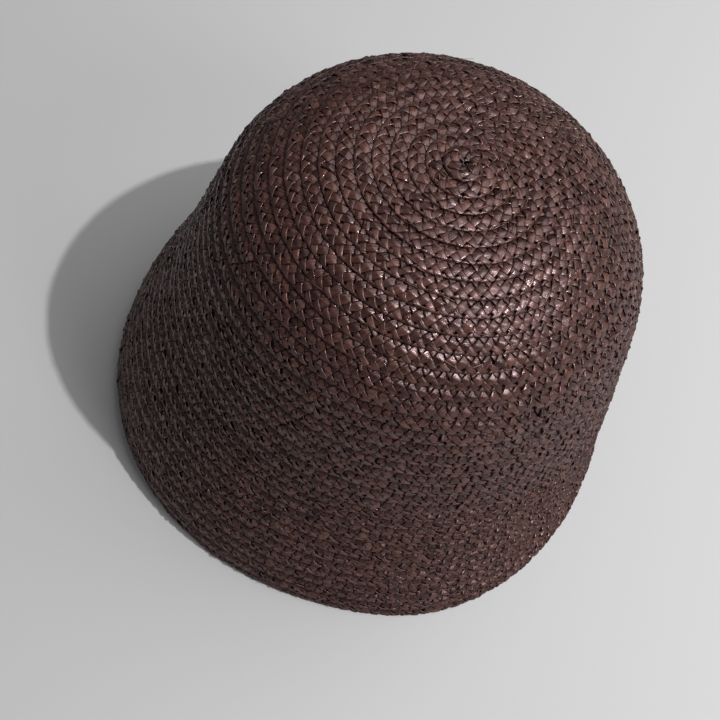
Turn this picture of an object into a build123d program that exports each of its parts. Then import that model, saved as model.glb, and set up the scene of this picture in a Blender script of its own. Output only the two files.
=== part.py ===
"""Straw sun hat: a soft bell-shaped hat sewn from one long spiral of plaited straw braid.

The hat stands on its brim edge, with +Z up and its front towards -Y.  The origin is on the surface
that it stands on, in the middle of its bounding box.  All sizes are in millimetres.

Each turn of braid is a narrow band whose lower edge lies on top of the next turn, like a roof tile.
The crown is round and leans back, so the brim is deep in front and short behind.  A place on the hat
is a row, counted in turns from the tip, and an offset outwards from the middle of the braid layer.
"""

import os
from itertools import pairwise
from math import cos, radians, sin

from build123d import *

# Braid -------------------------------------------------------------------------------------------
PITCH = 6.2                  # visible width of one turn on the crown
CROWN_TURNS = 24             # from the tip down to the head line
BRIM_TURNS = 13              # from the head line to the brim edge
BRAID = 1.3                  # thickness
SEWING_GAP = 0.15            # air between two turns that are sewn together
OVERLAP = 0.28               # part of a row that the turn above covers
TIP_ROW = 0.2                # where the spiral starts, which leaves a small hole

EDGE_ROW = CROWN_TURNS + BRIM_TURNS
SWING = (BRAID + SEWING_GAP) * (1 + OVERLAP) / 2    # how far a turn's two edges stand in and out

# Crown -------------------------------------------------------------------------------------------
TIP_HEIGHT = 145.8
LEAN = 12.1                  # degrees that the crown's axis leans back
SLOPES = [                   # distance down the outline from the tip, and the slope there in degrees
    (0.0, 13.8),
    (33.5, 5.7),
    (105.8, 78.6),
    (CROWN_TURNS * PITCH, 78.6),
]

# Brim edge ---------------------------------------------------------------------------------------
EDGE_FRONT = 143.6           # in front of the tip
EDGE_BACK = 68.0             # behind the tip
EDGE_HALF_WIDTH = 112.7
EDGE_SLOPE = 78.0            # degrees where the brim meets the table
WIDEST_SHIFT = 0.18          # how far the widest point lies behind the middle, of half the length

# Sweatband and thread ----------------------------------------------------------------------------
SWEATBAND_TOP_ROW = 20
SWEATBAND = 0.6              # thickness
THREAD = 0.35
CLEARANCE = 0.05             # air beside a thread


# Mean surface ------------------------------------------------------------------------------------
def crown_profile(distance):
    """Radius, depth below the tip and slope of the round crown, at a distance down its outline."""
    radius = depth = 0.0
    for (start, slope), (end, next_slope) in pairwise(SLOPES):
        length = min(distance, end) - start
        curl = radians(next_slope - slope) / (end - start)
        slope = radians(slope)
        if length <= 0:
            break
        if curl == 0:
            radius += length * cos(slope)
            depth += length * sin(slope)
        else:
            radius += (sin(slope + curl * length) - sin(slope)) / curl
            depth += (cos(slope) - cos(slope + curl * length)) / curl
        reached = slope + curl * length
    return radius, depth, reached


def leaning(forward, down):
    """A direction in the mirror plane, given along the crown's own forward and down axes."""
    angle = radians(LEAN)
    return Vector(0, -forward * cos(angle) - down * sin(angle), forward * sin(angle) - down * cos(angle))


def curve(start, start_direction, end, end_direction, share):
    """Point and direction on the cubic curve between two points, whose tangents are a chord long."""
    chord = (end - start).length
    leave = start_direction * chord
    arrive = end_direction * chord
    point = (
        start * (2 * share**3 - 3 * share**2 + 1)
        + leave * (share**3 - 2 * share**2 + share)
        + end * (3 * share**2 - 2 * share**3)
        + arrive * (share**3 - share**2)
    )
    direction = (
        (end - start) * (6 * share - 6 * share**2)
        + leave * (3 * share**2 - 4 * share + 1)
        + arrive * (3 * share**2 - 2 * share)
    )
    return point, direction.normalized()


def crown_lines(row):
    """Front, back and side of the crown at a row, each a point from the tip and a direction down the hat."""
    radius, depth, slope = crown_profile(max(row, TIP_ROW) * PITCH)
    centre_height = leaning(0, depth).Z
    return [
        (leaning(radius, depth), leaning(cos(slope), sin(slope))),
        (leaning(-radius, depth), leaning(-cos(slope), sin(slope))),
        (Vector(radius, 0, centre_height), Vector(cos(slope), 0, -sin(slope))),
    ]


def outlines(row):
    """Front, back and side lines at any row."""
    if row <= CROWN_TURNS:
        return crown_lines(row)
    out = cos(radians(EDGE_SLOPE))
    down = -sin(radians(EDGE_SLOPE))
    edge = [
        (Vector(0, -EDGE_FRONT, -TIP_HEIGHT), Vector(0, -out, down)),
        (Vector(0, EDGE_BACK, -TIP_HEIGHT), Vector(0, out, down)),
        (Vector(EDGE_HALF_WIDTH, 0, -TIP_HEIGHT), Vector(out, 0, down)),
    ]
    share = (row - CROWN_TURNS) / BRIM_TURNS
    return [curve(*line, *edge_line, share) for line, edge_line in zip(crown_lines(CROWN_TURNS), edge)]


def outline_points(row, offset):
    """Front and back points and half width at a row, moved out from the mean surface."""
    (front, front_down), (back, back_down), (side, side_down) = outlines(row)
    if row == EDGE_ROW:                      # the edge is flat, so that the hat stands on it
        front_down = back_down = side_down = Vector(0, 0, -1)
    front_out = front_down.cross(Vector(1, 0, 0))
    back_out = Vector(1, 0, 0).cross(back_down)
    return front + front_out * offset, back + back_out * offset, side.X - side_down.Z * offset


HALF_BRAID = BRAID / 2
FRONT_MOST = outline_points(EDGE_ROW, SWING + HALF_BRAID)[0].Y
BACK_MOST = max(outline_points(turn, SWING + HALF_BRAID)[1].Y for turn in range(1, EDGE_ROW + 1))
TIP = Vector(0, -(FRONT_MOST + BACK_MOST) / 2, TIP_HEIGHT)
CROWN_AXIS = Axis(TIP, -leaning(0, 1))
CROWN_SECTION = Plane(origin=TIP, x_dir=leaning(1, 0), z_dir=(1, 0, 0))    # across: radius, up: depth


# Sections: closed lists of (row, offset) ---------------------------------------------------------
def braid_offset(turn, row):
    """Offset of the middle of a turn: in at its upper edge, out at its lower edge."""
    upper_edge = turn - 1 - OVERLAP
    return SWING * (2 * (row - upper_edge) / (1 + OVERLAP) - 1)


def braid_section(first, last):
    """Turns first to last, stepped where each comes out from under the one before."""
    outside = []
    inside = []
    for turn in range(first, last + 1):
        top = max(turn - 1, TIP_ROW)
        outside += [(top, braid_offset(turn, top) + HALF_BRAID), (turn, SWING + HALF_BRAID)]
        top = max(turn - 1 - OVERLAP, TIP_ROW)
        bottom = turn - OVERLAP
        inside += [(row, braid_offset(turn, row) - HALF_BRAID) for row in (top, bottom)]
    if first > 1:
        outside.insert(0, (first - 1 - OVERLAP, -SWING + HALF_BRAID))
    inside.append((last, SWING - HALF_BRAID))
    return outside + inside[::-1]


def lining_section(top, bottom, face, thickness):
    """A strip inside the hat, whose face nearest to the braid has the given offset."""
    return [(top, face), (bottom, face), (bottom, face - thickness), (top, face - thickness)]


def stitch_section(turn):
    """The line of stitches that holds a turn's lower edge onto the next turn, seen from inside."""
    row = turn - OVERLAP / 2
    half = THREAD / PITCH / 2
    face = braid_offset(turn + 1, row) - HALF_BRAID - CLEARANCE
    return lining_section(row - half, row + half, face - half * SWING, THREAD)


# Solids ------------------------------------------------------------------------------------------
def crown_points(section):
    """A section's points on the crown's own section plane."""
    points = []
    for row, offset in section:
        radius, depth, slope = crown_profile(row * PITCH)
        points.append((radius + offset * sin(slope), depth - offset * cos(slope)))
    return points


def ring(row, offset):
    """Closed line round the hat: two half ellipses that meet where the hat is widest."""
    front, back, half_width = outline_points(row, offset)
    forward = (front - back).normalized()
    half_length = (front - back).length / 2
    brim_share = max(0, row - CROWN_TURNS) / BRIM_TURNS
    shift = WIDEST_SHIFT * brim_share * half_length
    widest = TIP + (front + back) / 2 - forward * shift
    plane = Plane(origin=widest, x_dir=(1, 0, 0), z_dir=forward.cross(Vector(1, 0, 0)))
    return [
        Edge.make_ellipse(half_width, half_length - shift, plane, 0, 180),
        Edge.make_ellipse(half_width, half_length + shift, plane, 180, 360),
    ]


def ringed_solid(section):
    """Solid whose section follows the hat's rings all the way round."""
    faces = []
    for place, next_place in pairwise(section + section[:1]):
        halves = ring(*place)
        next_halves = ring(*next_place)
        if place[0] == next_place[0] == EDGE_ROW:
            faces.append(Face(Wire(halves), [Wire(next_halves)]))
        else:
            faces += [Face.make_surface_from_curves(*pair) for pair in zip(halves, next_halves)]
    return Solid(Shell(faces))


def make_crown_part(name, sections):
    """Part of the round crown, with one solid for each section."""
    with BuildPart() as part:
        for section in sections:
            with BuildSketch(CROWN_SECTION):
                with BuildLine():
                    Polyline(*crown_points(section), close=True)
                make_face()
            revolve(axis=CROWN_AXIS)
    save(part, name)


def make_brim_part(name, sections):
    """Part of the brim, with one solid for each section."""
    solids = [ringed_solid(section) for section in sections]
    with BuildPart() as part:
        add(solids)
    save(part, name)


def save(part, name):
    part.part.label = name
    export_step(part.part, f"parts/{name}.step")


os.makedirs("parts", exist_ok=True)

# The braid is a spiral of spliced lengths, from the tip out.
for name, first, last in [
    ("crown_tip_braid", 1, 3),
    ("crown_top_braid", 4, 9),
    ("crown_shoulder_braid", 10, 14),
    ("crown_side_upper_braid", 15, 19),
    ("crown_side_lower_braid", 20, 24),
]:
    make_crown_part(name, [braid_section(first, last)])

for name, first, last in [
    ("brim_upper_braid", 25, 28),
    ("brim_middle_braid", 29, 32),
    ("brim_lower_braid", 33, 36),
    ("brim_edge_braid", 37, 37),
]:
    make_brim_part(name, [braid_section(first, last)])

make_crown_part("crown_seam_thread", [stitch_section(turn) for turn in range(1, CROWN_TURNS)])
make_brim_part("brim_seam_thread", [stitch_section(turn) for turn in range(CROWN_TURNS, EDGE_ROW)])

sweatband_face = -SWING - HALF_BRAID - THREAD - 3 * CLEARANCE
make_crown_part(
    "sweatband",
    [lining_section(SWEATBAND_TOP_ROW, CROWN_TURNS, sweatband_face, SWEATBAND)],
)
sweatband_seam = CROWN_TURNS - 0.3
make_crown_part(
    "sweatband_thread",
    [lining_section(sweatband_seam, sweatband_seam + THREAD / PITCH,
                    sweatband_face - SWEATBAND - CLEARANCE, THREAD)],
)
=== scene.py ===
"""Straw sun hat: plaited straw sewn in a spiral, with its sweatband and stitching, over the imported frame."""

from itertools import pairwise
from math import cos, pi, radians, sin

import bpy
import numpy as np
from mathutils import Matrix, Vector


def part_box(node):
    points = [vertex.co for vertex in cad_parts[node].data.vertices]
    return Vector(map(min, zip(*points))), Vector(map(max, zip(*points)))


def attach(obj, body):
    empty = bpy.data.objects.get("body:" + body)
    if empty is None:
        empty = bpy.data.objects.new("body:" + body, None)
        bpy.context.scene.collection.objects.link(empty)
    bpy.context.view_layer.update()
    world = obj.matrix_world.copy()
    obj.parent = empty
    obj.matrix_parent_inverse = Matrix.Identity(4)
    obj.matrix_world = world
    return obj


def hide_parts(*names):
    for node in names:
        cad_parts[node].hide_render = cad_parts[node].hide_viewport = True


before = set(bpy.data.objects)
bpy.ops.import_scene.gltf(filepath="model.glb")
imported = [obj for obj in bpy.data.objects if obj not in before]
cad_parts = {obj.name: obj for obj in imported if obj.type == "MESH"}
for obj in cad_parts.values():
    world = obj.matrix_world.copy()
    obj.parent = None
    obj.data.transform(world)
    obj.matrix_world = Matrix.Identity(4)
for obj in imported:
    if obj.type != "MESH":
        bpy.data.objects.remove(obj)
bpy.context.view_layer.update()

MM = 0.001
TURN = 2 * pi

# The hat's mean surface: the CAD model's sizes in millimetres -------------------------------------
PITCH = 6.2                  # visible width of one turn on the crown
CROWN_TURNS = 24             # from the tip down to the head line
BRIM_TURNS = 13              # from the head line to the brim edge
EDGE_ROW = CROWN_TURNS + BRIM_TURNS
BRAID = 1.3                  # thickness
SEWING_GAP = 0.15            # air between two turns that are sewn together
OVERLAP = 0.28               # part of a row that the turn above covers
TIP_ROW = 0.2                # where the CAD model's first turn starts
SWING = (BRAID + SEWING_GAP) * (1 + OVERLAP) / 2    # how far a turn's two edges stand in and out

TIP_HEIGHT = 145.8
LEAN = radians(12.1)         # how far the crown's axis leans back
SLOPES = [                   # distance down the outline from the tip, and the slope there in degrees
    (0.0, 13.8),
    (33.5, 5.7),
    (105.8, 78.6),
    (CROWN_TURNS * PITCH, 78.6),
]
EDGE_FRONT = 143.6           # in front of the tip
EDGE_BACK = 68.0             # behind the tip
EDGE_HALF_WIDTH = 112.7
EDGE_SLOPE = radians(78.0)   # where the brim meets the table
WIDEST_SHIFT = 0.18          # how far the widest point lies behind the middle, of half the length
TIP_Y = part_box("brim_edge_braid")[0][1] / MM + EDGE_FRONT + SWING + BRAID / 2

# The spiral of braid -----------------------------------------------------------------------------
START_ROW = 0.75             # row of the spiral's lower edge at its start
START_ANGLE = radians(238)
INNER_ROW = TIP_ROW / 4      # the first turn's upper edge, which leaves almost no hole
TURNS = EDGE_ROW - START_ROW + 1    # the last turn lies on the brim edge, its end under its start
LINE_STEPS = 240             # in one turn, where the spiral's length is measured
BRAID_CROWDING = 0.17        # how far the plait crowds towards the braid's edges
BRAID_SWING = 0.75           # its lower edge stands out, and its upper edge in, by this much
BRAID_BOW = 0.5              # its middle stands out by this much
BRAID_LIFT = 0.25            # and all of it lies this far out of the mean surface
EDGE_DROOP = 0.5             # its lower edge curls in by this much
EDGE_CURL = 0.6              # from here on, where 0 is its middle and 1 its edge

# The plait: flat strands of straw ----------------------------------------------------------------
STRANDS = 4
STEPS = 12                   # along a strand, from one edge of the braid to the other
TIGHT_ROW = 8                # the plait is tight and flat down to this row,
LOOSE_ROW = 17               # and loose and rough from this row on
TIGHT_PLAIT = 4.5            # length of braid from one strand to the next
LOOSE_PLAIT = 4.1
STRAW = 0.2                  # thickness of a strand
STRAW_FLAT = 0.62            # flat part of a strand's width
STRAW_CURL = 0.14            # how far a strand's sides droop
STRAW_RISE = 0.22            # how far a strand rises over and dips under the others
STRAW_SPREAD = 0.16          # how much wider it is on top of the braid's middle, and narrower elsewhere
PRESSED = 1.25               # above 1, the strands lie flat between the places where they dip
FOLD = 0.07                  # part of a strand's way across the braid between a fold and the flat straw
EDGE_ROOM = 0.4              # how far inside the braid's edge the straw lies before it folds over
PIECE_JOIN = 0.3             # how far two pieces of braid run into each other, in plaits

# Each pair is for the tight plait and for the loose plait.
STRAW_FILL = (1.0, 0.94)     # a strand's width, of the room that it has
STRAW_SLANT = (0.0, 0.45)    # how far the braid's edges are pulled along it, in plaits
STRAW_PUFF = (0.28, 0.42)    # how much further a strand rises at the braid's middle
LOWER_DIP = (0.08, 0.18)     # how far it dips between the braid's middle and its lower edge
UPPER_DIP = (0.12, 0.36)     # and its upper edge
UNEVEN_HEIGHT = (0.07, 0.12)         # how much a strand varies at random, from crossing to crossing
UNEVEN_TILT = (0.12, 0.18)
UNEVEN_MIDDLE_TILT = (0.24, 0.34)    # this is added at the braid's middle
UNEVEN_ACROSS = (0.014, 0.035)       # of half the braid's width
UNEVEN_ALONG = (0.06, 0.09)          # in plaits
WAVER = (0.016, 0.028)               # how far all strands sway across the braid together

UNEVEN_WIDTH = 0.08
WIDTH_LIMITS = (-0.16, 0.1)
WAVER_LENGTHS = (2.3, 0.83)          # of the waves that they sway in, in plaits for each radian
HEIGHT_WAVES = ((0.07, 3.1), (0.05, 1.27))    # slow waves up and down: height and length

PAINTED_SEAM_SHADE = 1.9             # painted shade: how much darker the straw is painted in the seams, where the turn above casts shade
SEAM_SHADE_ACROSS = (0.15, 0.5)    # where the painted shade begins and is full, where 0 is the braid's middle and 1 its upper edge
EDGE_HIGHLIGHT = 0.7              # painted highlight: how much lighter the straw is painted along the braid's lower edge, which stands out into the light
EDGE_HIGHLIGHT_ACROSS = (0.6, 0.9)     # where the painted highlight begins and is full, where 1 is the braid's lower edge
STRAND_TONE = 0.3            # how much one strand differs from another
GRAIN_RUN = 5.5              # length of a plait in the straw's grain
GRAIN_LANE = 2.0             # and half of a strand's width

# Stray ends of straw -----------------------------------------------------------------------------
STRAY_ENDS = 260
STRAY_LENGTH = (2.0, 5.5)
STRAY_STEPS = 6
STRAY_WIDTH = 0.75
STRAY_TIP = 0.15             # width at its tip, of its width
STRAY_THICKNESS = 0.14
STRAY_ROOTS = (-0.9, 0.3)    # where across the braid it starts, from -1 (lower edge) to 1
STRAY_SLANT = 0.45           # how far across the braid it runs
STRAY_HEIGHT = 0.42          # where it leaves the plait
STRAY_LIFT = (0.1, 1.0)      # how far its tip stands up
STRAY_TONE = 1.5             # how much lighter it is than the plait

SPLICE_TURNS = 1.55          # where a new length of braid starts, near the tip
SPLICE_ENDS = 7              # side by side across the braid, each longer than the last
SPLICE_LENGTH = 0.2          # of the first end, in plaits
SPLICE_LONGER = 0.1
SPLICE_ROOT = -0.8           # where across the braid the first end starts
SPLICE_APART = 0.22
SPLICE_SLANT = 0.25
SPLICE_HEIGHT = 0.55
SPLICE_LIFT = (0.2, 0.7)

# Thread and sweatband ----------------------------------------------------------------------------
SEAM_OFFSET = -0.75          # where the inner stitches lie
SEAM_STEPS = 400             # in one turn
THREAD = 0.35
THREAD_SIDES = 5
STITCH = 3.2                 # length
STITCH_SHAPE = [             # places along a stitch, and how far it sinks into what it holds
    (0.04, 0.35),
    (0.2, 0.05),
    (0.5, 0.0),
    (0.8, 0.05),
    (0.96, 0.35),
]
SWEATBAND_TOP_ROW = 20
SWEATBAND_OFFSET = -2.1      # middle of its thickness
SWEATBAND = 0.6              # the CAD solid's thickness, which holds the ribbon and its ribs
SWEATBAND_SEAM = CROWN_TURNS - 0.27
SWEATBAND_STITCH_OFFSET = SWEATBAND_OFFSET - SWEATBAND / 2 - 0.3 * THREAD    # pressed into the ribbon
SWEATBAND_LAP = 12.0
LAP_START = 0.6              # part of its length ahead of the lap where the ribbon starts to step inwards
LAP_GAP = 0.15               # air between the ribbon and the lap
RIBBON = 0.45                # thickness
RIBBON_EDGE = [(0.0, 0.35), (0.04, 0.8)]      # rows from its edge, and the part of its thickness there
RIBBON_FLAT = 0.1            # rows from its edge to its full thickness
RIBBON_LINES = 7             # over its full thickness
RIB = 1.0                    # from one rib to the next
RIB_STEPS = 4
RIB_RISE = 0.07

BRAIDS = [                   # CAD node, and the rows that its pieces of braid end at
    ("crown_tip_braid", [3]),
    ("crown_top_braid", [9]),
    ("crown_shoulder_braid", [14]),
    ("crown_side_upper_braid", [17, 19]),
    ("crown_side_lower_braid", [22, 24]),
    ("brim_upper_braid", [28]),
    ("brim_middle_braid", [30, 32]),
    ("brim_lower_braid", [35, 37]),
    ("brim_edge_braid", [38]),
]


def rising(value, start, end):
    """0 up to the start, 1 from the end on, and a straight rise between them."""
    return np.clip((value - start) / (end - start), 0, 1)


# Mean surface ------------------------------------------------------------------------------------
def crown_profile(distance):
    """Radius, depth below the tip and slope of the round crown, at distances down its outline."""
    radius = np.zeros_like(distance)
    depth = np.zeros_like(distance)
    reached = np.full_like(distance, radians(SLOPES[0][1]))
    for (start, slope), (end, next_slope) in pairwise(SLOPES):
        length = np.clip(distance, start, end) - start
        curl = radians(next_slope - slope) / (end - start)
        slope = radians(slope)
        if curl == 0:
            radius += length * cos(slope)
            depth += length * sin(slope)
        else:
            radius += (np.sin(slope + curl * length) - sin(slope)) / curl
            depth += (cos(slope) - np.cos(slope + curl * length)) / curl
        reached += curl * length
    return radius, depth, reached


def leaning(forward, down):
    """(y, z) of directions given along the crown's own forward and down axes."""
    y = -forward * cos(LEAN) - down * sin(LEAN)
    z = forward * sin(LEAN) - down * cos(LEAN)
    return np.stack([y, z], axis=-1)


def unit(vectors):
    return vectors / np.linalg.norm(vectors, axis=-1, keepdims=True)


def curve(start, start_direction, end, end_direction, share):
    """Points and directions on the cubic curve between two points, whose tangents are a chord long."""
    share = share[..., None]
    chord = np.linalg.norm(end - start, axis=-1, keepdims=True)
    leave = start_direction * chord
    arrive = end_direction * chord
    point = (
        start * (2 * share**3 - 3 * share**2 + 1)
        + leave * (share**3 - 2 * share**2 + share)
        + end * (3 * share**2 - 2 * share**3)
        + arrive * (share**3 - share**2)
    )
    direction = (
        (end - start) * (6 * share - 6 * share**2)
        + leave * (3 * share**2 - 4 * share + 1)
        + arrive * (3 * share**2 - 2 * share)
    )
    return point, unit(direction)


def on_hat(row, offset, angle):
    """Points in millimetres, from rows, offsets outwards, and angles from the front towards +X."""
    radius, depth, slope = crown_profile(np.clip(row, INNER_ROW, CROWN_TURNS) * PITCH)
    share = rising(row, CROWN_TURNS, EDGE_ROW)
    out = cos(EDGE_SLOPE)
    down = -sin(EDGE_SLOPE)
    front, front_down = curve(
        leaning(radius, depth), leaning(np.cos(slope), np.sin(slope)),
        np.array([-EDGE_FRONT, -TIP_HEIGHT]), np.array([-out, down]), share,
    )
    back, back_down = curve(
        leaning(-radius, depth), leaning(-np.cos(slope), np.sin(slope)),
        np.array([EDGE_BACK, -TIP_HEIGHT]), np.array([out, down]), share,
    )
    side, side_down = curve(
        np.stack([radius, leaning(0 * depth, depth)[..., 1]], axis=-1),
        np.stack([np.cos(slope), -np.sin(slope)], axis=-1),
        np.array([EDGE_HALF_WIDTH, -TIP_HEIGHT]), np.array([out, down]), share,
    )
    upright = rising(row, EDGE_ROW - 1, EDGE_ROW)[..., None]    # the edge is flat, and the hat stands on it
    plumb = np.array([0, -1])
    front_down, back_down, side_down = (
        unit(line * (1 - upright) + plumb * upright) for line in (front_down, back_down, side_down)
    )
    offset = np.asarray(offset)[..., None]
    front = front + offset * np.stack([front_down[..., 1], -front_down[..., 0]], axis=-1)
    back = back + offset * np.stack([-back_down[..., 1], back_down[..., 0]], axis=-1)
    half_width = side[..., 0] - offset[..., 0] * side_down[..., 1]
    half_length = np.linalg.norm(front - back, axis=-1) / 2
    shift = WIDEST_SHIFT * share * half_length
    reach = np.where(np.cos(angle) > 0, half_length + shift, half_length - shift) * np.cos(angle) - shift
    plane = (front + back) / 2 + unit(front - back) * reach[..., None]
    x = half_width * np.sin(angle)
    return np.stack([x, plane[..., 0] + TIP_Y, plane[..., 1] + TIP_HEIGHT], axis=-1)


# Places on the braid -----------------------------------------------------------------------------
def on_braid(turns, across, height):
    """Points on the braid, from turns of the spiral, -1 (lower edge) to 1 across it, and height."""
    lower_edge = np.minimum(START_ROW + turns, EDGE_ROW)
    width = np.minimum(1 + OVERLAP, lower_edge - INNER_ROW)
    tucked = (BRAID + SEWING_GAP) * rising(turns, TURNS - 1, TURNS)
    row = lower_edge - width * ((across + 1) / 2 + BRAID_CROWDING * across * (1 - across**2))
    bow = BRAID_BOW * (1 - across**2)
    droop = EDGE_DROOP * rising(-across, EDGE_CURL, 1) ** 2
    offset = BRAID_LIFT - BRAID_SWING * across + bow - droop - tucked + height
    return on_hat(row, offset, START_ANGLE - TURN * turns)


line_turns = np.linspace(0, TURNS, int(TURNS * LINE_STEPS))
line_steps = np.linalg.norm(np.diff(on_braid(line_turns, 0 * line_turns, 0 * line_turns), axis=0), axis=1)
line_plait = np.interp(START_ROW + line_turns, [TIGHT_ROW, LOOSE_ROW], [TIGHT_PLAIT, LOOSE_PLAIT])
line_plaits = np.concatenate([[0], np.cumsum(line_steps / line_plait[1:])])


def turns_at(plaits):
    """Turns from the spiral's start at places along the braid, which are counted in plaits."""
    return np.interp(plaits, line_plaits, line_turns)


def plaits_at(row):
    """Where along the braid its lower edge reaches a row."""
    return np.interp(row - START_ROW, line_turns, line_plaits)


# Meshes ------------------------------------------------------------------------------------------
def tube_faces(ring_counts, sides):
    """Quads of tubes with open ends, whose points come tube by tube and ring by ring."""
    faces = []
    count = 0
    for rings in ring_counts:
        ring_start = count + np.arange(rings - 1)[:, None] * sides
        here = ring_start + np.arange(sides)
        around = ring_start + (np.arange(sides) + 1) % sides
        faces.append(np.stack([here, around, around + sides, here + sides], axis=-1).reshape(-1, 4))
        count += rings * sides
    return np.concatenate(faces)


def make_piece(name, points, faces, material, **attributes):
    """An object made from points in millimetres and quads, with attributes for its material."""
    mesh = bpy.data.meshes.new(name)
    mesh.vertices.add(len(points))
    mesh.vertices.foreach_set("co", (points * MM).astype(np.float32).ravel())
    mesh.loops.add(faces.size)
    mesh.loops.foreach_set("vertex_index", faces.astype(np.int32).ravel())
    mesh.polygons.add(len(faces))
    mesh.polygons.foreach_set("loop_start", np.arange(0, faces.size, faces.shape[1], dtype=np.int32))
    mesh.polygons.foreach_set("use_smooth", np.ones(len(faces), bool))
    mesh.update(calc_edges=True)
    mesh.validate()
    for label, values in attributes.items():
        kind = "FLOAT" if values.ndim == 1 else "FLOAT_VECTOR"
        data = mesh.attributes.new(label, kind, "POINT").data
        data.foreach_set("value" if values.ndim == 1 else "vector", values.astype(np.float32).ravel())
    mesh.materials.append(material)
    piece = bpy.data.objects.new(name, mesh)
    bpy.context.scene.collection.objects.link(piece)
    return piece


def stand_for(piece, node):
    """The piece is shown instead of the CAD node."""
    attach(piece, "root")
    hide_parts(node)


# Straw -------------------------------------------------------------------------------------------
# A strand's outline, as places across its width and its thickness, and what varies at random along it
RING = [(-1, 0), (-STRAW_FLAT, 1), (STRAW_FLAT, 1), (1, 0), (STRAW_FLAT, -1), (-STRAW_FLAT, -1)]
WIDTH, HEIGHT, TILT, MIDDLE_TILT, ACROSS, ALONG, TONE, GLOSS = range(8)


def strand(number, start, end):
    """One strand of the plait between two places along the braid, all counted in plaits.

    It runs slantwise from edge to edge of the braid, over and under the strands that slant the other
    way, and folds over at each edge.  Returns its points, ring by ring, and what its material reads.
    """
    rng = np.random.default_rng(number)
    first_fold = number - STRANDS
    knot_values = rng.normal(size=(8, 2 * int(line_plaits[-1]) + 40))     # some more than the crossings
    passage = np.arange(int((start - first_fold) / 2), int((end - first_fold) / 2) + 1)[:, None]
    sway = np.linspace(-1, 1, STEPS + 1)[None, :]
    up = np.where(passage % 2 == 0, 1.0, -1.0)

    # Along the braid, and whether the straw is folded there: the first place of each passage is a fold.
    places = np.concatenate([[0], FOLD + (1 - 2 * FOLD) * (sway[0] + 1) / 2])
    along = first_fold + 2 * (passage + places[None, :])
    folded = np.zeros_like(along, bool)
    folded[:, 0] = True
    knots = np.concatenate([4 * passage, 4 * passage + 2 * (sway + 1)], axis=1)
    looseness = rising(START_ROW + turns_at(along), TIGHT_ROW, LOOSE_ROW)

    def wander(kind):
        """Values that change at random from one crossing to the next."""
        return np.interp(knots, np.arange(knot_values.shape[1]), knot_values[kind])

    def loosened(tight_and_loose):
        tight, loose = tight_and_loose
        return tight + (loose - tight) * looseness

    # Across the braid, -1 is its lower edge and 1 its upper edge.
    per_millimetre = 2 / (PITCH * (1 + OVERLAP))
    edge_room = EDGE_ROOM * per_millimetre
    across_middle = np.concatenate([-up, up * sway], axis=1)
    hump = np.cos(across_middle * pi / 2) ** 6          # 1 in the middle, and soon falls to 0
    spread = STRAW_SPREAD * np.where(up < 0, 2 * hump - 1, -1)
    uneven_width = np.clip(UNEVEN_WIDTH * wander(WIDTH), *WIDTH_LIMITS)
    half_width = loosened(STRAW_FILL) / 2 * (1 + spread + uneven_width)
    rise = STRAW_RISE + loosened(STRAW_PUFF) * hump
    dip = np.where(across_middle > 0, loosened(UPPER_DIP), loosened(LOWER_DIP))
    layer_height = (
        wander(HEIGHT) * loosened(UNEVEN_HEIGHT)
        - dip * np.sin(across_middle * pi) ** 2
        + sum(height * np.sin(along / length) for height, length in HEIGHT_WAVES)
    )
    tilt = wander(TILT) * loosened(UNEVEN_TILT) + wander(MIDDLE_TILT) * loosened(UNEVEN_MIDDLE_TILT) * hump
    waver = sum(np.sin(along / length) for length in WAVER_LENGTHS)
    shift = wander(ACROSS) * loosened(UNEVEN_ACROSS) + waver * loosened(WAVER)
    along_middle = along + wander(ALONG) * loosened(UNEVEN_ALONG) + loosened(STRAW_SLANT) * across_middle

    def cross_line(side):
        """The strand's middle layer at a place across its width: along, across and height."""
        wave = -up * np.cos(TURN * sway + side * pi / 2)
        height = rise[:, 1:] * np.sin(np.clip(PRESSED * wave, -1, 1) * pi / 2)
        height = np.concatenate([0 * up, height], axis=1) + layer_height + side * tilt - STRAW_CURL * side**2
        inside = up * sway * (1 - edge_room)
        across = np.concatenate([-up * (1 - edge_room / 2 * abs(side)), inside], axis=1) + shift
        return along_middle + side * half_width, across, height

    face = np.where(folded, 0, -up) * STRAW / 2
    rim = np.where(folded, -up, 0) * STRAW / 2 * per_millimetre
    ring = []
    for side, layer in RING:
        line_along, line_across, line_height = cross_line(side)
        ring.append(np.stack([line_along, line_across + layer * rim, line_height + layer * face], axis=-1))
    rings = np.stack(ring, axis=2).reshape(-1, len(RING), 3)

    lane = np.tile([side * GRAIN_LANE for side, layer in RING], (len(rings), 1))
    run = np.broadcast_to(along.reshape(-1, 1) * GRAIN_RUN, lane.shape)
    grain = np.stack([run, lane, np.full(lane.shape, rng.uniform(0, 100))], axis=-1)
    # Painted shade in the seams under the turn above and a painted highlight along the lower edge are added to
    # the straw's random tone.
    seam_shade_mask = rising(across_middle, *SEAM_SHADE_ACROSS)
    edge_highlight_mask = rising(-across_middle, *EDGE_HIGHLIGHT_ACROSS)
    tone_with_painted_light = wander(TONE) - PAINTED_SEAM_SHADE * seam_shade_mask + EDGE_HIGHLIGHT * edge_highlight_mask
    tone = np.broadcast_to(tone_with_painted_light.reshape(-1, 1) + rng.normal(0, STRAND_TONE), lane.shape)
    gloss = np.broadcast_to(wander(GLOSS).reshape(-1, 1), lane.shape)
    kept = (along.ravel() > start - PIECE_JOIN) & (along.ravel() < end + PIECE_JOIN)
    return rings[kept], grain[kept], tone[kept], gloss[kept]


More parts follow.
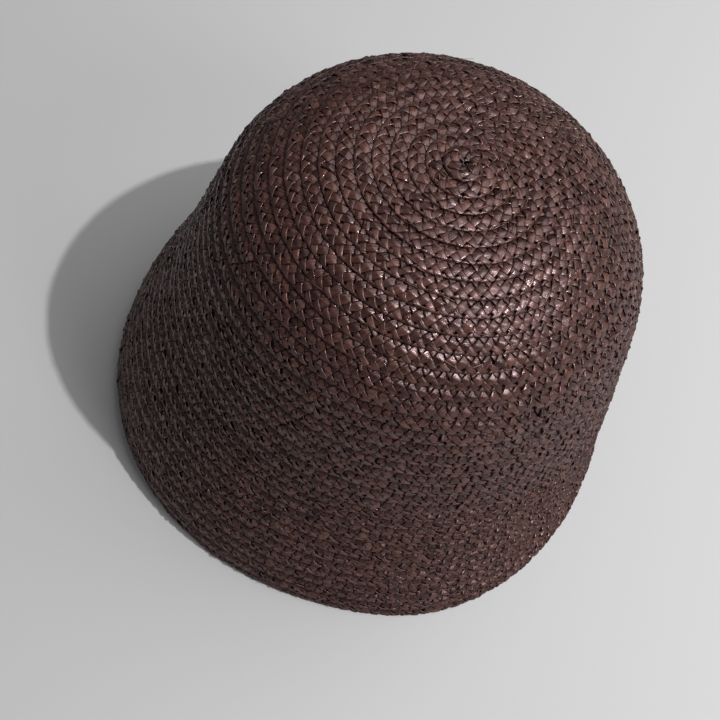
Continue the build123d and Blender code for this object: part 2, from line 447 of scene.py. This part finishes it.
def braid(name, node, start, end, material):
    """A length of plaited braid, between two places along the spiral, that stands for a CAD node."""
    strands = [strand(number, start, end) for number in range(STRANDS)]
    rings, grain, tone, gloss = (np.concatenate(parts) for parts in zip(*strands))
    along, across, height = rings.reshape(-1, 3).T
    points = on_braid(turns_at(along), across, height)
    faces = tube_faces([len(strand_rings) for strand_rings, *_ in strands], len(RING))
    piece = make_piece(
        name, points, faces, material,
        grain=grain.reshape(-1, 3), tone=tone.ravel(), gloss=gloss.ravel(),
    )
    stand_for(piece, node)


# Materials ---------------------------------------------------------------------------------------
def node_material(name):
    material = bpy.data.materials.new(name)
    material.use_nodes = True
    tree = material.node_tree
    return material, tree, tree.nodes["Principled BSDF"]


def set_inputs(tree, node, inputs):
    """Sets inputs of a shader node to values, or links them to another node's output."""
    for label, value in inputs.items():
        if isinstance(value, bpy.types.NodeSocket):
            tree.links.new(value, node.inputs[label])
        else:
            node.inputs[label].default_value = value


def add_node(tree, kind, inputs):
    node = tree.nodes.new(kind)
    set_inputs(tree, node, inputs)
    return node


def attribute(tree, label):
    """The node that reads a mesh attribute."""
    node = tree.nodes.new("ShaderNodeAttribute")
    node.attribute_name = label
    return node


def streaky_noise(tree, scale, detail):
    """Noise stretched along the fibres, whose run and lane come from the grain attribute."""
    grain = attribute(tree, "grain").outputs["Vector"]
    stretch = add_node(tree, "ShaderNodeMapping", {"Vector": grain, "Scale": scale})
    noise = {"Vector": stretch.outputs["Vector"], "Scale": 1.0, "Detail": detail}
    return add_node(tree, "ShaderNodeTexNoise", noise).outputs["Fac"]


def colours(tree, value, stops):
    """Colour by value, from a list of values and their colours."""
    ramp = add_node(tree, "ShaderNodeValToRGB", {"Fac": value})
    elements = ramp.color_ramp.elements
    elements.remove(elements[1])
    elements[0].position = stops[0][0]
    elements[0].color = (*stops[0][1], 1)
    for position, colour in stops[1:]:
        elements.new(position).color = (*colour, 1)
    return ramp.outputs["Color"]


def bumps(tree, height, strength, distance):
    bump = add_node(tree, "ShaderNodeBump", {"Height": height, "Strength": strength, "Distance": distance})
    return bump.outputs["Normal"]


def straw_material():
    """Dyed straw: brown, streaked along the fibre, uneven from splint to splint, with a waxy gloss. Its tone
    attribute also brings painted shade in the braid's seams and a painted highlight along its lower edge.
    """
    material, tree, shader = node_material("dyed_straw")
    streaks = streaky_noise(tree, scale=(0.25, 1.7, 1.0), detail=3.0)
    shade = tree.nodes.new("ShaderNodeMath")
    shade.operation = "MULTIPLY_ADD"
    # The tone attribute holds the straw's random tone, plus painted seam shade and a painted edge highlight on
    # the braid.
    set_inputs(tree, shade, {0: attribute(tree, "tone").outputs["Fac"], 1: 0.14, 2: streaks})
    brown = colours(tree, shade.outputs[0], [
        (0.2, (0.018, 0.007, 0.005)),
        (0.5, (0.0545, 0.0222, 0.0165)),
        (0.85, (0.118, 0.053, 0.041)),
    ])
    roughness = add_node(tree, "ShaderNodeMapRange", {
        "Value": attribute(tree, "gloss").outputs["Fac"],
        "From Min": -2.0,
        "From Max": 2.0,
        "To Min": 0.15,
        "To Max": 0.46,
    })
    set_inputs(tree, shader, {
        "Base Color": brown,
        "Roughness": roughness.outputs["Result"],
        "Normal": bumps(tree, streaks, strength=0.6, distance=0.0002),
        "Specular IOR Level": 0.8,
        "Specular Tint": (1.0, 0.73, 0.74, 1),
    })
    return material


def thread_material():
    """Matt twisted cotton, dyed to match."""
    material, tree, shader = node_material("thread")
    place = tree.nodes.new("ShaderNodeTexCoord").outputs["Object"]
    wave = add_node(tree, "ShaderNodeTexWave", {"Vector": place, "Scale": 2200.0, "Distortion": 2.0})
    twist = wave.outputs["Fac"]
    set_inputs(tree, shader, {
        "Base Color": colours(tree, twist, [(0.0, (0.020, 0.009, 0.007)), (1.0, (0.075, 0.038, 0.030))]),
        "Roughness": 0.8,
        "Normal": bumps(tree, twist, strength=0.4, distance=0.0001),
    })
    return material


def grosgrain_material():
    """Ribbed ribbon: fine warp threads round each rib, in a slightly shiny dark brown."""
    material, tree, shader = node_material("grosgrain")
    threads = streaky_noise(tree, scale=(0.6, 9.0, 1.0), detail=2.0)
    set_inputs(tree, shader, {
        "Base Color": colours(tree, threads, [(0.3, (0.014, 0.007, 0.0055)), (0.7, (0.046, 0.025, 0.020))]),
        "Roughness": 0.55,
        "Normal": bumps(tree, threads, strength=0.5, distance=0.00008),
        "Sheen Weight": 0.1,
        "Sheen Tint": (0.55, 0.35, 0.28, 1),
        "Sheen Roughness": 0.4,
    })
    return material


# Pieces of straw ---------------------------------------------------------------------------------
def make_braids(straw):
    start = 0.0
    for node, last_rows in BRAIDS:
        for row in last_rows:
            end = plaits_at(row)
            braid(f"{node}_plait_{row}", node, start, end, straw)
            start = end


def make_strips(name, paths, material):
    """Thin flat straws along paths of (turns, across, height), pointed at their far ends."""
    points = []
    grains = []
    for number, (turns, across, height) in enumerate(paths):
        middle = on_braid(turns, across, height)
        forward = unit(np.gradient(middle, axis=0))
        out = unit(on_braid(turns, across, height + 1) - middle)
        taper = np.linspace(1, STRAY_TIP, len(turns))[:, None]
        half = np.cross(forward, out) * STRAY_WIDTH / 2 * taper
        flat = out * STRAY_THICKNESS / 2
        ring = [middle - half, middle + flat, middle + half, middle - flat]
        points.append(np.stack(ring, axis=1).reshape(-1, 3))
        run = np.repeat(np.arange(len(turns)) * 1.0, 4)
        lane = np.tile([-1.0, 0.0, 1.0, 0.0], len(turns))
        own_grain = np.full(len(run), number * 7.3)
        grains.append(np.stack([run, lane, own_grain], axis=-1))
    points = np.concatenate(points)
    faces = tube_faces([len(turns) for turns, across, height in paths], 4)
    tone = np.full(len(points), STRAY_TONE)
    return make_piece(name, points, faces, material, grain=np.concatenate(grains), tone=tone)


def make_stray_ends(straw):
    """Cut ends of straw that stick out of the plait, and the frayed end of a length near the tip."""
    rng = np.random.default_rng(5)
    share = np.linspace(0, 1, STRAY_STEPS)
    paths = []
    for _ in range(STRAY_ENDS):
        turns = rng.uniform(2, TURNS - 1)
        away = rng.choice([-1, 1]) * rng.uniform(*STRAY_LENGTH)
        slant = rng.uniform(-STRAY_SLANT, STRAY_SLANT)
        lift = rng.uniform(*STRAY_LIFT)
        place = np.interp(turns, line_turns, line_plaits) + away / LOOSE_PLAIT * share
        across = rng.uniform(*STRAY_ROOTS) + slant * share
        paths.append((turns_at(place), across, STRAY_HEIGHT + lift * share**2))
    splice = np.interp(SPLICE_TURNS, line_turns, line_plaits)
    for number in range(SPLICE_ENDS):
        place = splice + (SPLICE_LENGTH + number * SPLICE_LONGER) * share
        across = SPLICE_ROOT + SPLICE_APART * number + rng.uniform(-SPLICE_SLANT, SPLICE_SLANT) * share
        paths.append((turns_at(place), across, SPLICE_HEIGHT + rng.uniform(*SPLICE_LIFT) * share))
    ends = make_strips("stray_straw_ends", paths, straw)
    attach(ends, "root")


# Thread ------------------------------------------------------------------------------------------
def stitches(name, node, rows, angles, offset, material):
    """Stitches of thread inside the hat, along a line of rows and angles, each dipping into what it holds."""
    line = on_hat(rows, np.full_like(rows, offset), angles)
    reach = np.concatenate([[0], np.cumsum(np.linalg.norm(np.diff(line, axis=0), axis=1))])
    count = int(reach[-1] / STITCH)
    share, sink = np.array(STITCH_SHAPE).T
    places = (np.arange(count)[:, None] + share) * STITCH
    row = np.interp(places, reach, rows)
    turn = np.interp(places, reach, angles)
    depth = offset + np.broadcast_to(sink, row.shape)
    middle = on_hat(row, depth, turn)
    out = unit(on_hat(row, depth + 1, turn) - middle)
    forward = unit(np.gradient(middle, axis=1))
    sideways = np.cross(forward, out)
    ring = [                                 # in the order that makes its faces look outwards
        middle + THREAD / 2 * (cos(side) * sideways - sin(side) * out)
        for side in np.arange(THREAD_SIDES) * TURN / THREAD_SIDES
    ]
    points = np.stack(ring, axis=2)
    faces = tube_faces([len(share)] * count, THREAD_SIDES)
    piece = make_piece(name, points.reshape(-1, 3), faces, material)
    stand_for(piece, node)


def make_threads():
    """The seams that sew each turn of the braid to the next, and the one that holds the sweatband."""
    thread = thread_material()
    seams = [
        ("crown_stitches", "crown_seam_thread", 1.0, CROWN_TURNS - 0.5),
        ("brim_stitches", "brim_seam_thread", CROWN_TURNS - 0.5, EDGE_ROW - 0.6),
    ]
    for name, node, start_row, end_row in seams:
        rows = np.linspace(start_row, end_row, int((end_row - start_row) * SEAM_STEPS))
        angles = START_ANGLE - TURN * (rows + OVERLAP / 2 - START_ROW)
        stitches(name, node, rows, angles, SEAM_OFFSET, thread)
    angles = np.linspace(0, TURN, SEAM_STEPS)
    rows = np.full_like(angles, SWEATBAND_SEAM)
    stitches("sweatband_stitches", "sweatband_thread", rows, angles, SWEATBAND_STITCH_OFFSET, thread)


# Sweatband ---------------------------------------------------------------------------------------
def make_sweatband():
    """A strip of grosgrain that goes once round inside the head line and laps over its start at the back."""
    sample = np.linspace(0, TURN, 721)       # every half degree
    middle_row = (SWEATBAND_TOP_ROW + CROWN_TURNS) / 2
    line = on_hat(np.full_like(sample, middle_row), np.full_like(sample, SWEATBAND_OFFSET), sample)
    girth = np.linalg.norm(np.diff(line, axis=0), axis=1).sum()
    length = girth + SWEATBAND_LAP
    ribs = round(length / RIB)
    place = np.arange(ribs * RIB_STEPS + 1) / (ribs * RIB_STEPS)
    angle = pi + TURN * place * length / girth
    lap_start = girth - LAP_START * SWEATBAND_LAP
    lap = rising(place * length, lap_start, lap_start + SWEATBAND_LAP)
    inward = SWEATBAND_OFFSET - (RIBBON + LAP_GAP) * lap * lap * (3 - 2 * lap)
    rib = RIB_RISE * np.sin(TURN * place * ribs)
    edge_rows, edge_full = np.array(RIBBON_EDGE).T
    rows = np.concatenate([
        SWEATBAND_TOP_ROW + edge_rows,
        np.linspace(SWEATBAND_TOP_ROW + RIBBON_FLAT, CROWN_TURNS - RIBBON_FLAT, RIBBON_LINES),
        CROWN_TURNS - edge_rows[::-1],
    ])
    full = np.concatenate([edge_full, np.ones(RIBBON_LINES), edge_full[::-1]])
    row, turn = np.meshgrid(rows, angle, indexing="ij")
    faces_of = []
    for face in (1, -1):
        offset = inward + face * (RIBBON / 2 + rib * face) * full[:, None]
        faces_of.append(on_hat(row, offset, turn))
    across = np.concatenate([faces_of[0], faces_of[1][::-1]], axis=0)
    sides = across.shape[0]
    points = across.transpose(1, 0, 2).reshape(-1, 3)
    lane = np.tile(np.concatenate([rows, rows[::-1]]) * PITCH, len(angle))
    run = np.repeat(place * length, sides)
    grain = np.stack([run, lane, 0 * run], axis=-1)
    faces = tube_faces([len(angle)], sides)
    band = make_piece("sweatband_ribbon", points, faces, grosgrain_material(), grain=grain)
    stand_for(band, "sweatband")


# Studio ------------------------------------------------------------------------------------------
def make_floor():
    mesh = bpy.data.meshes.new("floor")
    size = 4.0
    corners = [(-size, -size, 0), (size, -size, 0), (size, size, 0), (-size, size, 0)]
    mesh.from_pydata(corners, [], [(0, 1, 2, 3)])
    material, tree, shader = node_material("floor")
    set_inputs(tree, shader, {"Base Color": (0.62, 0.62, 0.62, 1), "Roughness": 0.8})
    mesh.materials.append(material)
    floor = bpy.data.objects.new("floor", mesh)
    bpy.context.scene.collection.objects.link(floor)


def area_light(name, place, target, size, power):
    light = bpy.data.lights.new(name, "AREA")
    light.size = size
    light.energy = power
    lamp = bpy.data.objects.new(name, light)
    lamp.location = place
    lamp.rotation_euler = (Vector(target) - Vector(place)).to_track_quat("-Z", "Y").to_euler()
    bpy.context.scene.collection.objects.link(lamp)


def make_lights():
    aim = (-0.3, 0.6, 0)
    area_light("lamp", (0.266, 0.800, 1.241), aim, size=0.03, power=13.4)
    area_light("small_window", (0.60, 0.76, 0.74), (0, 0, 0.08), size=0.35, power=2.7)
    area_light("ceiling", (-0.5, 1.2, 1.6), aim, size=1.8, power=18)
    world = bpy.data.worlds.new("studio")
    world.use_nodes = True
    background = world.node_tree.nodes["Background"]
    background.inputs["Color"].default_value = (0.97, 0.97, 1.0, 1)
    background.inputs["Strength"].default_value = 0.14
    bpy.context.scene.world = world


def make_camera():
    """Looks down from beside the hat, with its front to the left."""
    tip = Vector((0, TIP_Y * MM, TIP_HEIGHT * MM))
    from_tip = Vector((0.2925, -0.0164, 0.3660))
    elevation = radians(59.9)
    heading = Vector((-0.9974, -0.0716, 0)) * cos(elevation)
    data = bpy.data.cameras.new("camera")
    data.lens = 66.6
    data.sensor_width = 36
    data.clip_start = 0.01
    camera = bpy.data.objects.new("camera", data)
    camera.location = tip + from_tip
    look = heading + Vector((0, 0, -sin(elevation)))
    camera.rotation_euler = look.to_track_quat("-Z", "Y").to_euler()
    bpy.context.scene.collection.objects.link(camera)
    bpy.context.scene.camera = camera


straw = straw_material()
make_braids(straw)
make_stray_ends(straw)
make_threads()
make_sweatband()
make_floor()
make_lights()
make_camera()
bpy.context.scene.view_settings.view_transform = "Standard"
